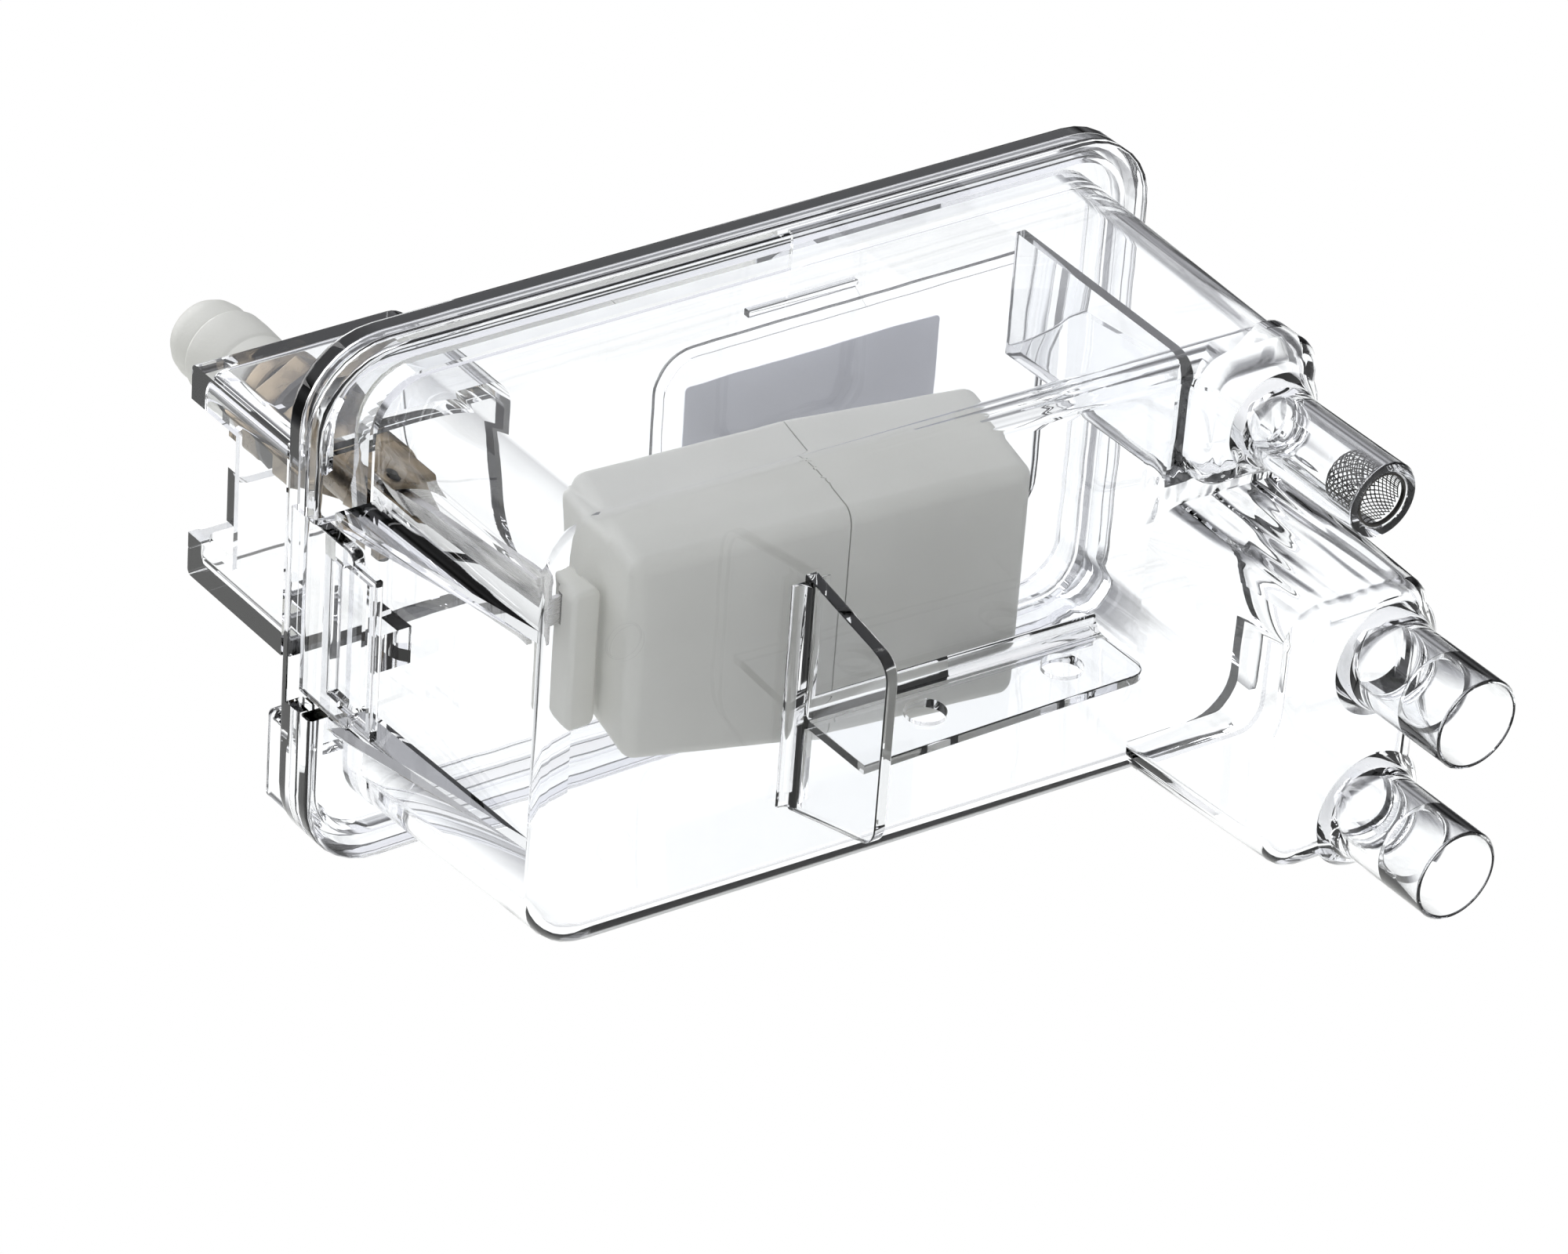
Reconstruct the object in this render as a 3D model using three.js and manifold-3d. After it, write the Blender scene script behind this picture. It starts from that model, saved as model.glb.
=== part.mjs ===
// Float-valve water reservoir: a clear moulded tub with a sloping floor, a deep sump and an overflow
// chamber at one end, three hose stubs, a mounting bracket, and a snap-on lid that carries the float valve.
// Millimetres, +Z up. The origin is on the seating face of the mounting bracket, midway between its holes.
import * as THREE from 'three';
import { mergeVertices } from 'three/addons/utils/BufferGeometryUtils.js';
import Module from 'manifold-3d';

const wasm = await Module();
wasm.setup();

// ---------------------------------------------------------------- driving dimensions
const WALL = 2.5;                 // moulded wall
const GAP = 0.3;                  // clearance between pieces that touch
const TUB = { x0: -95, x1: 78, y0: -56, y1: 41, corner: 12 };   // outside of the tub at its flange
const DRAFT = 2.2;                // how far each tub wall leans in by the floor
const FLOOR_HIGH = 12.6;          // underside of the floor at the valve end
const FLOOR_LOW = 7;              // and at the sump
const RIM = { x0: -107, x1: 86, y0: -63.6, y1: 48.8, corner: 17 };   // outline of flange and lid
const FLANGE_LOW = 69.5;
const FLANGE_TOP = 73;
const FLANGE_STEP_X = -2;         // the flange is thinner beyond this station
const FLANGE_THIN = 71.5;
const WALL_TOP = 77.6;
const LID_TOP = 80.5;
const LID_PLATE = 2.5;
const SUMP = { x0: 41, x1: 78, y0: -22, y1: 39, z0: -35.4, corner: 8 };
const CHAMBER = { x0: 47, y1: -25.5, z0: 3.6, weir: 63.5 };   // overflow chamber and its weir height
const STUB_X = 65;
const STUBS = {
  overflow: { y: -37.3, z: -29.5, od: 15.9, id: 11.9, lip: 0 },
  supply: { y: -6, z: -62.4, od: 19, id: 14.6, lip: 12 },
  drain: { y: 27.8, z: -62.4, od: 19, id: 14.6, lip: 12 },
};
const LIP_BORE = 17.2;            // thinner end of the two large stubs
const BRACKET = { x0: -35.7, x1: 29.4, t: 2, z0: -9.9, corner: 4, fillet: 3, hole: 8.3, pitch: 32 };
const GUSSET = { x0: -38.2, x1: -35.6, rootY: [-30.5, 21], tipY: [-26, 15.5], z0: -15.8, corner: 5 };
const LATCH = { x0: -104.6, x1: -101.9, y0: -28, y1: 11, arm: 5, ear: 60, web: 67.5, low: 52.6, bar: 1.8, top: 77.4 };
const NOTCH = { x: -100.9, y0: -30, y1: 13 };       // gap in flange and skirt where the latch hangs
const WEDGE = { x: -101.5, y0: -12, y1: -4, low: 55.6, high: 66.6 };   // catch on the tub for the latch
const TOWER = { x0: -106.5, x1: -58, y0: -41.7, y1: 4.5, z1: 114.6, corner: 6, sill: 98.6 };
const WINDOW = { depth: 8.5, y0: -34, y1: -4.7 };    // bay above the sill that the valve slides in through
const VALVE = { x: -79, y: -20 };                   // axis of the float valve
const HINGE = { x: -84, z: 79.5 };                  // float arm pivot, along Y
const TAB = { x0: -79, x1: -70.5, z: 38.4, half: 3 };   // end of the arm that plugs into the float
const STRIP = { half: 4.4, wide: 6.8, flare: 74 };   // half widths of the arm at the hinge and float, flare start
const CLIP = { x0: -75, x1: -68, y0: -25, y1: 5, low: 33.5, high: 42.5 };
const LABEL = { x0: -16.5, x1: 44, y0: -26.7, y1: 8 };

// ---------------------------------------------------------------- finishes
const finish = (color, roughness, metalness = 0, extra = {}) =>
  new THREE.MeshStandardMaterial({ color, roughness, metalness, ...extra });
const clear = () => finish(0xe9eef2, 0.06, 0, { transparent: true, opacity: 0.35 });
const brass = () => finish(0xa8894f, 0.32, 1);
const steel = () => finish(0xa9a7a3, 0.28, 1);
const floatPlastic = () => finish(0xb9b9b4, 0.55);
const capPlastic = () => finish(0xbcbcb7, 0.5);
const rubber = () => finish(0x24242a, 0.8);
const labelFilm = () => finish(0xa6a8b0, 0.5);

// ---------------------------------------------------------------- geometry helpers
/** Closed three.js geometry to a solid that can be cut and joined. */
function solid(geometry) {
  geometry.deleteAttribute('normal');
  geometry.deleteAttribute('uv');
  const merged = mergeVertices(geometry, 1e-4);
  const mesh = new wasm.Mesh({
    numProp: 3,
    vertProperties: new Float32Array(merged.attributes.position.array),
    triVerts: new Uint32Array(merged.index.array),
  });
  mesh.merge();
  return new wasm.Manifold(mesh);
}

/** Solid back to a three.js mesh with a name and a finish. */
function piece(name, body, material) {
  const m = body.getMesh();
  const geometry = new THREE.BufferGeometry();
  const points = new Float32Array(m.numVert * 3);
  for (let i = 0; i < m.numVert; i++) {
    for (let k = 0; k < 3; k++) points[3 * i + k] = m.vertProperties[m.numProp * i + k];
  }
  geometry.setAttribute('position', new THREE.BufferAttribute(points, 3));
  geometry.setIndex(new THREE.BufferAttribute(new Uint32Array(m.triVerts), 1));
  geometry.computeVertexNormals();
  const mesh = new THREE.Mesh(geometry, material);
  mesh.name = name;
  return mesh;
}

const union = (...parts) => parts.reduce((a, b) => a.add(b));
const cut = (body, ...tools) => tools.reduce((a, b) => a.subtract(b), body);

/** Axis-aligned block from corner to corner. */
function block(x0, x1, y0, y1, z0, z1) {
  const g = new THREE.BoxGeometry(x1 - x0, y1 - y0, z1 - z0);
  g.translate((x0 + x1) / 2, (y0 + y1) / 2, (z0 + z1) / 2);
  return solid(g);
}

/** Rectangle outline with round corners. */
function roundRect(x0, x1, y0, y1, r) {
  const s = new THREE.Shape();
  s.moveTo(x0 + r, y0);
  s.lineTo(x1 - r, y0);
  s.absarc(x1 - r, y0 + r, r, -Math.PI / 2, 0);
  s.lineTo(x1, y1 - r);
  s.absarc(x1 - r, y1 - r, r, 0, Math.PI / 2);
  s.lineTo(x0 + r, y1);
  s.absarc(x0 + r, y1 - r, r, Math.PI / 2, Math.PI);
  s.lineTo(x0, y0 + r);
  s.absarc(x0 + r, y0 + r, r, Math.PI, 1.5 * Math.PI);
  return s;
}

/** Prism of an outline in XY. */
function prism(shape, z0, z1, segments = 4) {
  const g = new THREE.ExtrudeGeometry(shape, { depth: z1 - z0, bevelEnabled: false, curveSegments: segments });
  g.translate(0, 0, z0);
  return solid(g);
}

/** Prism of an outline drawn in (y, z), thick along X. */
function plateX(shape, x0, x1, segments = 4) {
  const g = new THREE.ExtrudeGeometry(shape, { depth: x1 - x0, bevelEnabled: false, curveSegments: segments });
  g.applyMatrix4(new THREE.Matrix4().makeBasis(
    new THREE.Vector3(0, 1, 0), new THREE.Vector3(0, 0, 1), new THREE.Vector3(1, 0, 0)));
  g.translate(x0, 0, 0);
  return solid(g);
}

/** Prism of an outline drawn in (x, z), thick along Y. */
function plateY(shape, y0, y1, segments = 4) {
  const g = new THREE.ExtrudeGeometry(shape, { depth: y1 - y0, bevelEnabled: false, curveSegments: segments });
  g.applyMatrix4(new THREE.Matrix4().makeBasis(
    new THREE.Vector3(1, 0, 0), new THREE.Vector3(0, 0, 1), new THREE.Vector3(0, -1, 0)));
  g.translate(0, y1, 0);
  return solid(g);
}

/** Straight-sided outline through points. */
const outline = (...points) => new THREE.Shape(points.map(([a, b]) => new THREE.Vector2(a, b)));

/** Upright turned solid from [radius, z] pairs that start and end on the axis. */
function turned(profile, x, y, sides = 24) {
  const g = new THREE.LatheGeometry(profile.map(([r, z]) => new THREE.Vector2(r, z)), sides);
  g.rotateX(Math.PI / 2);
  g.translate(x, y, 0);
  return solid(g);
}
const rod = (x, y, r, z0, z1, sides = 24) => turned([[0, z0], [r, z0], [r, z1], [0, z1]], x, y, sides);

/** Rod along Y. */
function rodY(x, z, r, y0, y1, sides = 16) {
  const g = new THREE.CylinderGeometry(r, r, y1 - y0, sides);
  g.translate(x, (y0 + y1) / 2, z);
  return solid(g);
}

/** Box with round corners, a round lower edge and walls that lean in by draft towards the bottom. */
function pan({ x0, x1, y0, y1, corner }, zTop, zLow, edge, draft, floorAt) {
  const shape = roundRect(x0 + edge, x1 - edge, y0 + edge, y1 - edge, corner - edge);
  const depth = zTop - zLow;
  const g = new THREE.ExtrudeGeometry(shape, {
    depth: depth + 20, bevelEnabled: true, bevelSize: edge, bevelThickness: edge, bevelSegments: 3,
    curveSegments: 4,
  });
  g.translate(0, 0, zLow + edge);
  const p = g.attributes.position;
  const cx = (x0 + x1) / 2;
  const cy = (y0 + y1) / 2;
  for (let i = 0; i < p.count; i++) {
    const down = Math.min(1, Math.max(0, (zTop - p.getZ(i)) / depth));
    const x = p.getX(i);
    p.setX(i, x - Math.sign(x - cx) * draft * down);
    p.setY(i, p.getY(i) - Math.sign(p.getY(i) - cy) * draft * down);
    p.setZ(i, p.getZ(i) + (floorAt(x) - zLow) * down);
  }
  return solid(g).subtract(block(x0 - 30, x1 + 30, y0 - 30, y1 + 30, zTop, zTop + 60));
}

const inset = (box, d) => ({
  x0: box.x0 + d, x1: box.x1 - d, y0: box.y0 + d, y1: box.y1 - d, corner: Math.max(box.corner - d, 2),
});

// ---------------------------------------------------------------- tub, with overflow chamber
const slope = (x) => THREE.MathUtils.clamp(
  FLOOR_HIGH + (FLOOR_LOW - FLOOR_HIGH) * (x - TUB.x0) / (SUMP.x0 - TUB.x0), FLOOR_LOW, FLOOR_HIGH);

function makeTub() {
  const outer = pan(TUB, WALL_TOP, FLOOR_LOW, 5, DRAFT, slope);
  const inner = pan(inset(TUB, WALL), WALL_TOP + 0.01, FLOOR_LOW + WALL, 3, DRAFT, (x) => slope(x) + WALL);
  const chamberBox = { x0: CHAMBER.x0, x1: TUB.x1 - DRAFT, y0: TUB.y0 + DRAFT, y1: CHAMBER.y1, corner: 8 };
  const chamber = pan(chamberBox, FLOOR_LOW + 6, CHAMBER.z0, 3, 0, () => CHAMBER.z0);
  const rim = prism(roundRect(RIM.x0, RIM.x1, RIM.y0, RIM.y1, RIM.corner), FLANGE_LOW, FLANGE_TOP, 6);
  const thin = block(FLANGE_STEP_X, RIM.x1 + 1, RIM.y0 - 1, RIM.y1 + 1, FLANGE_LOW - 1, FLANGE_THIN);
  const ribs = [-30.4, 14.4].map((y) => plateY(
    outline([TUB.x0 + 1, FLANGE_LOW + 1], [TUB.x0 - 8, FLANGE_LOW + 1], [TUB.x0 - 8, FLANGE_LOW - 3],
      [TUB.x0 + 2, 18], [TUB.x0 + 4, 18]), y - 1.3, y + 1.3));
  const wedge = plateY(outline([TUB.x0 + 2, WEDGE.low], [TUB.x0 + 2, WEDGE.high], [TUB.x0 - 0.5, WEDGE.high],
    [WEDGE.x, WEDGE.low + 2], [WEDGE.x, WEDGE.low]), WEDGE.y0, WEDGE.y1);
  const notch = block(RIM.x0 - 1, NOTCH.x, NOTCH.y0, NOTCH.y1, FLANGE_LOW - 1, FLANGE_TOP + 1);
  const shell = cut(union(outer, cut(rim, thin, notch), chamber, ...ribs, wedge), inner);
  const chamberVoid = pan(
    { x0: CHAMBER.x0 + 2.2, x1: TUB.x1 - DRAFT - WALL, y0: TUB.y0 + DRAFT + WALL, y1: CHAMBER.y1 - 2.2, corner: 6 },
    CHAMBER.weir, CHAMBER.z0 + WALL, 2, 0, () => CHAMBER.z0 + WALL);
  const sumpMouth = prism(
    roundRect(SUMP.x0 + WALL, SUMP.x1 - WALL - 1.5, SUMP.y0 + WALL, SUMP.y1 - WALL - 1.5, 5), -5, FLOOR_LOW + 9);
  const stubHole = rod(STUB_X, STUBS.overflow.y, STUBS.overflow.id / 2, CHAMBER.z0 - 5, CHAMBER.z0 + 9);
  return cut(shell, chamberVoid, sumpMouth, stubHole);
}

/** Overflow weir: two walls bonded into the tub that fence the chamber off from the rest of it. */
function makeWeir() {
  const t = 2.2;
  const foot = FLOOR_LOW + WALL + GAP;
  const room = pan(inset(TUB, WALL + GAP), WALL_TOP, foot, 3, DRAFT, (x) => slope(x) + WALL + GAP);
  return union(
    block(CHAMBER.x0, CHAMBER.x0 + t, TUB.y0, CHAMBER.y1, foot, CHAMBER.weir),
    block(CHAMBER.x0, TUB.x1, CHAMBER.y1 - t, CHAMBER.y1, foot, CHAMBER.weir),
    plateY(outline([CHAMBER.x0 - 3, foot], [CHAMBER.x0 + 1, foot], [CHAMBER.x0 + 1, foot + 3.4]),
      TUB.y0, CHAMBER.y1)).intersect(room);
}

// ---------------------------------------------------------------- sump, welded under the floor
function makeSump() {
  const top = FLOOR_LOW - GAP;
  const outer = pan(SUMP, top, SUMP.z0, 4, 1.5, () => SUMP.z0);
  const inner = pan(inset(SUMP, WALL), top + 0.01, SUMP.z0 + WALL, 2, 1.5, () => SUMP.z0 + WALL);
  const chamberRoom = block(CHAMBER.x0 - GAP, 90, -60, CHAMBER.y1 + GAP, -10, 20);
  const holes = [STUBS.supply, STUBS.drain].map((s) =>
    rod(STUB_X, s.y, s.id / 2, SUMP.z0 - 5, SUMP.z0 + 8));
  return cut(outer, inner, chamberRoom, ...holes);
}

/** Hose stub that flares into the wall above it. */
function makeStub({ y, z, od, id, lip }, root) {
  const r = od / 2;
  const bore = id / 2;
  const profile = [[bore, root], [bore, z + lip]];
  if (lip) profile.push([LIP_BORE / 2, z + lip]);
  profile.push([lip ? LIP_BORE / 2 : bore, z], [r, z], [r, root - 2.5], [r + 0.5, root - 0.8], [r + 1.6, root]);
  profile.push([bore, root]);
  const g = new THREE.LatheGeometry(profile.map(([a, b]) => new THREE.Vector2(a, b)), 28);
  g.rotateX(Math.PI / 2);
  g.translate(STUB_X, y, 0);
  return solid(g);
}

// ---------------------------------------------------------------- mounting bracket
/** Strip of triangular section under the sloping floor, for the root of a plate. */
function rootStrip(x0, x1, y0, y1, wide0, wide1, depth) {
  const g = new THREE.BoxGeometry(1, 1, 1);
  const p = g.attributes.position;
  for (let i = 0; i < p.count; i++) {
    const up = p.getZ(i) > 0;
    const x = p.getX(i) > 0 ? x1 + (up ? wide0 : 0) : x0 - (up ? wide0 : 0);
    const y = p.getY(i) > 0 ? y1 + (up ? wide1 : 0) : y0 - (up ? wide1 : 0);
    p.setXYZ(i, x, y, slope(x) - GAP - (up ? 0 : depth));
  }
  return solid(g);
}

function makeBracket() {
  const { x0, x1, t, z0, corner, fillet, hole, pitch } = BRACKET;
  const face = new THREE.Shape();
  const rise = (x) => slope(x) - GAP;
  face.moveTo(x0, z0);
  face.lineTo(x1 - corner, z0);
  face.absarc(x1 - corner, z0 + corner, corner, -Math.PI / 2, 0);
  face.lineTo(x1, rise(x1));
  face.lineTo(x0, rise(x0));
  for (const side of [-1, 1]) {
    const h = new THREE.Path();
    h.absarc(side * pitch / 2, 0, hole / 2, 0, 2 * Math.PI, true);
    face.holes.push(h);
  }
  const plate = plateY(face, 0, t, 10);
  const top = rise(GUSSET.x1) - 0.05;
  const [ra, rb] = GUSSET.rootY;
  const [ta, tb] = GUSSET.tipY;
  const r = GUSSET.corner;
  const outlineWeb = new THREE.Shape();
  outlineWeb.moveTo(ra, top);
  outlineWeb.lineTo(ta, GUSSET.z0 + r);
  outlineWeb.absarc(ta + r, GUSSET.z0 + r, r, Math.PI, 1.5 * Math.PI);
  outlineWeb.lineTo(tb - r, GUSSET.z0);
  outlineWeb.absarc(tb - r, GUSSET.z0 + r, r, -Math.PI / 2, 0);
  outlineWeb.lineTo(rb, top);
  const web = plateX(outlineWeb, GUSSET.x0, GUSSET.x1 + 0.5, 6);
  return union(plate, web,
    rootStrip(x0, x1, 0, t, 1, fillet, fillet),
    rootStrip(GUSSET.x0, GUSSET.x1, ra + 1, rb - 1, fillet, 1.5, fillet));
}

// ---------------------------------------------------------------- lid
function makeLid() {
  const low = FLANGE_TOP + GAP;
  const plateLow = LID_TOP - LID_PLATE;
  const out = prism(roundRect(RIM.x0, RIM.x1, RIM.y0, RIM.y1, RIM.corner), low, LID_TOP, 6);
  const pocket = prism(roundRect(RIM.x0 + 2.2, RIM.x1 - 2.2, RIM.y0 + 2.2, RIM.y1 - 2.2, RIM.corner - 2.2),
    low - 1, plateLow, 6);
  const panel = prism(roundRect(-25, 70, -36.6, 24, 9), LID_TOP - 1, LID_TOP + 1.2);
  const panelUnder = prism(roundRect(-23.5, 68.5, -35.1, 22.5, 7.5), plateLow - 1, LID_TOP - 1.3);
  const bar = block(-6, 20, -42.8, -41.2, plateLow - 1.6, plateLow + 1);
  const hole = block(TOWER.x0 + 2.5, TOWER.x1 - 2.5, TOWER.y0 + 2.5, TOWER.y1 - 2.5, plateLow - 1, LID_TOP + 2);
  const hook = union(
    block(-101, -98.5, 25, 45, LID_TOP - 1, 93.6),
    block(-101, -93, 25, 27.5, LID_TOP - 1, 93.6));
  const notch = block(RIM.x0 - 1, NOTCH.x, NOTCH.y0, NOTCH.y1, low - 1, plateLow);
  return union(cut(union(out, panel, hook), pocket, panelUnder, hole, notch), bar);
}

/** Snap latch below the lid: a strip with two round-ended arms, and a bar that reaches in under the wedge. */
function makeLatch() {
  const { x0, x1, y0, y1, arm, ear, low, bar, top } = LATCH;
  const r = arm / 2;
  const frame = new THREE.Shape();
  frame.moveTo(y0, top);
  frame.lineTo(y0, ear + r);
  frame.absarc(y0 + r, ear + r, r, Math.PI, 2 * Math.PI);
  frame.lineTo(y0 + arm, LATCH.web);
  frame.lineTo(y1 - arm, LATCH.web);
  frame.lineTo(y1 - arm, ear + r);
  frame.absarc(y1 - r, ear + r, r, Math.PI, 2 * Math.PI);
  frame.lineTo(y1, top);
  const loop = plateX(outline([y0 + 2, ear + 3], [y0 + 2, low], [y1 - 2, low], [y1 - 2, ear + 3]), x0, x0 + bar);
  const opening = block(x0 - 1, x1 + 1, y0 + 2 + bar, y1 - 2 - bar, low + bar, ear + 4);
  return union(plateX(frame, x0, x1), cut(loop, opening));
}

/** Tower on the lid that shields and holds the valve: a bay above its sill is open to -X and above, and leads to
    the slot for the valve. */
function makeTower() {
  const { x0, x1, y0, y1, z1, corner, sill } = TOWER;
  const z0 = LID_TOP + GAP;
  const outer = cut(prism(roundRect(x0 - 10, x1, y0, y1, corner), z0, z1),
    block(x0 - 20, x0, y0 - 1, y1 + 1, z0 - 1, z1 + 1));
  const inner = prism(roundRect(x0 + 2.5, x1 - 2.5, y0 + 2.5, y1 - 2.5, corner - 2.5), z0 - 1, z1 - 2.6);
  const window = block(x0 - 5, x0 + WINDOW.depth, WINDOW.y0, WINDOW.y1, sill, z1 + 1);
  const slot = new THREE.Shape();
  slot.absarc(VALVE.x, VALVE.y, 6.5, -Math.PI / 2, Math.PI / 2);
  slot.absarc(x0 + 14, VALVE.y, 6.5, Math.PI / 2, 1.5 * Math.PI);
  return cut(outer, inner, window, prism(slot, z1 - 5, z1 + 1, 8));
}

// ---------------------------------------------------------------- float valve
const nutShape = (acrossFlats) => {
  const s = new THREE.Shape();
  for (let i = 0; i < 6; i++) {
    const a = (i + 0.5) * Math.PI / 3;
    const r = acrossFlats / Math.sqrt(3);
    s[i ? 'lineTo' : 'moveTo'](VALVE.x + r * Math.cos(a), VALVE.y + r * Math.sin(a));
  }
  return s;
};
const onAxis = (r, z0, z1, sides = 24) => rod(VALVE.x, VALVE.y, r, z0, z1, sides);

function makeValveBody() {
  const shelf = TOWER.z1 - 2.6;
  const body = union(
    onAxis(7.4, 90, shelf - 5),
    prism(nutShape(19), shelf - 6, shelf - GAP),
    onAxis(6.1, shelf - 1, 140),
    // Clevis cheeks that carry the hinge pin.
    block(HINGE.x - 3.2, VALVE.x + 3, VALVE.y - 7, VALVE.y - 4.9, HINGE.z - 3, 92),
    block(HINGE.x - 3.2, VALVE.x + 3, VALVE.y + 4.9, VALVE.y + 7, HINGE.z - 3, 92));
  return cut(body,
    onAxis(4.2, 80, 105.2),
    onAxis(1.6, 80, 144, 12),
    onAxis(4.4, 110, 144),
    rodY(HINGE.x, HINGE.z, 1.6, VALVE.y - 10, VALVE.y + 10));
}
const makePlunger = () => turned([[0, 81.9], [0.8, 81.9], [3.6, 85], [3.6, 97], [2.4, 98.2], [0, 98.2]],
  VALVE.x, VALVE.y);
const makeSeal = () => onAxis(3.3, 98.5, 100.7, 16);
const makeSeat = () => cut(onAxis(3.9, 102.2, 104.9, 16), onAxis(1.2, 100, 107, 12));
const makeScreen = () => cut(onAxis(4.1, 134, 136, 20), onAxis(2.6, 134.8, 137, 20));
const makeWasher = () => cut(onAxis(10.5, TOWER.z1 + GAP, TOWER.z1 + 1.8), onAxis(6.4, 110, 120));
const makeLockNut = () => cut(prism(nutShape(19), TOWER.z1 + 2.1, TOWER.z1 + 8.4), onAxis(6.4, 110, 130));
const makeCollar = () => cut(turned([[0, 124], [9.2, 124], [9.2, 128], [8, 129.5], [0, 129.5]], VALVE.x, VALVE.y),
  onAxis(6.4, 120, 133));
const makeCap = () => cut(
  turned([[0, 130.2], [8.2, 130.2], [8.6, 131], [9.2, 146], [9.2, 150], [8.6, 153.6], [6.8, 156], [3.8, 157.4],
    [0, 157.8]], VALVE.x, VALVE.y, 28),
  onAxis(6.5, 129, 141),
  onAxis(5.6, 140.9, 153));
const makePin = () => rodY(HINGE.x, HINGE.z, 1.3, VALVE.y - 8.6, VALVE.y + 8.6);

// ---------------------------------------------------------------- float and arm, as they hang when empty
const FLOAT_LEAN = 7;             // how far the end walls lean over, bottom to top
const FLOAT_CHAMFER = 2.5;
const FLOAT_WALL = 1.6;
const STATIONS = [                // x of the bottom edge, sides, bottom and top of the float from end to end
  { x: -69.5, y0: -36, y1: 7, low: 22, high: 54 },
  { x: -24.5, y0: -37, y1: 13.5, low: 17, high: 49.8 },
  { x: 14.5, y0: -38, y1: 14, low: 12.4, high: 41 },
];

/** Box with broken edges, lofted between two stations. */
function floatLoft(a, b, gapA, gapB) {
  const steps = 3;
  const k = FLOAT_CHAMFER;
  const corners = (s) => [
    [s.y0 + k, s.low], [s.y1 - k, s.low], [s.y1, s.low + k], [s.y1, s.high - k],
    [s.y1 - k, s.high], [s.y0 + k, s.high], [s.y0, s.high - k], [s.y0, s.low + k]];
  const unit = outline(...corners({ y0: -10, y1: 10, low: -10, high: 10 }));
  const g = new THREE.ExtrudeGeometry(unit, { depth: steps, bevelEnabled: false, steps });
  const p = g.attributes.position;
  const from = corners(a);
  const to = corners(b);
  const unitCorners = corners({ y0: -10, y1: 10, low: -10, high: 10 });
  for (let i = 0; i < p.count; i++) {
    const n = unitCorners.findIndex(([u, v]) => Math.hypot(u - p.getX(i), v - p.getY(i)) < 0.01);
    const t = p.getZ(i) / steps;
    const y = THREE.MathUtils.lerp(from[n][0], to[n][0], t);
    const z = THREE.MathUtils.lerp(from[n][1], to[n][1], t);
    const low = THREE.MathUtils.lerp(a.low, b.low, t);
    const high = THREE.MathUtils.lerp(a.high, b.high, t);
    const x = THREE.MathUtils.lerp(a.x + gapA, b.x - gapB, t);
    p.setXYZ(i, x + FLOAT_LEAN * (z - low) / (high - low), y, z);
  }
  return solid(g);
}

/** One half of the float: a cup with a closed end, open at the seam. */
function floatHalf(a, b, gapA, gapB) {
  const w = FLOAT_WALL;
  const shrink = (s, x) => ({ x, y0: s.y0 + w, y1: s.y1 - w, low: s.low + w, high: s.high - w });
  const past = 2;
  const room = floatLoft(shrink(a, gapA ? a.x - past : a.x + w), shrink(b, gapB ? b.x + past : b.x - w), 0, 0);
  return cut(floatLoft(a, b, gapA, gapB), room);
}

/** Bent strip: a foot under the plunger, a pivot eye and a long leg that widens downwards and ends in a tab. */
function makeArm() {
  const { half, wide, flare } = STRIP;
  const y0 = VALVE.y - half;
  const y1 = VALVE.y + half;
  const { x, z } = HINGE;
  const foot = plateY(outline([x - 2.5, z - 2.5], [x + 9.5, z], [x + 9.5, z + 1.5], [x - 2.5, z + 2.5]), y0, y1);
  const leg = plateY(outline([x - 2.5, z + 1], [x + 1.5, z - 1], [TAB.x0 + 1.2, TAB.z + 1.2],
    [TAB.x0 + 1.2, TAB.z], [TAB.x0, TAB.z], [TAB.x0, TAB.z + 3]), VALVE.y - wide, VALVE.y + wide);
  const shape = plateX(outline([VALVE.y - half, z + 5], [VALVE.y - half, flare], [VALVE.y - wide, TAB.z - 1],
    [VALVE.y + wide, TAB.z - 1], [VALVE.y + half, flare], [VALVE.y + half, z + 5]), x - 10, x + 15);
  const tab = block(TAB.x0, TAB.x1, VALVE.y - TAB.half, VALVE.y + TAB.half, TAB.z, TAB.z + 1.2);
  return cut(union(foot, leg.intersect(shape), tab), rodY(x, z, 1.6, y0 - 5, y1 + 5));
}
/** Boss on the float's end, slotted for the tab. */
const makeClip = () => cut(
  block(CLIP.x0, CLIP.x1, CLIP.y0, CLIP.y1, CLIP.low, CLIP.high),
  block(CLIP.x0 - 1, TAB.x1 + GAP, VALVE.y - TAB.half - GAP, VALVE.y + TAB.half + GAP,
    TAB.z - GAP, TAB.z + 1.2 + GAP));

// ---------------------------------------------------------------- strainer
function makeStrainer() {
  const { y, z, id } = STUBS.overflow;
  const r = id / 2 - GAP;
  return turned([[0, z + 10.4], [2.4, z + 10.2], [r - 2, z + 9], [r - 0.8, z + 6.8], [r - 0.5, z + 0.4],
    [r, z + 0.4], [r - 0.3, z + 7], [r - 1.6, z + 9.6], [2.5, z + 10.8], [0, z + 11]], STUB_X, y, 20);
}

// ---------------------------------------------------------------- assembly
const group = new THREE.Group();
const add = (name, body, material) => group.add(piece(name, body, material));

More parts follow.
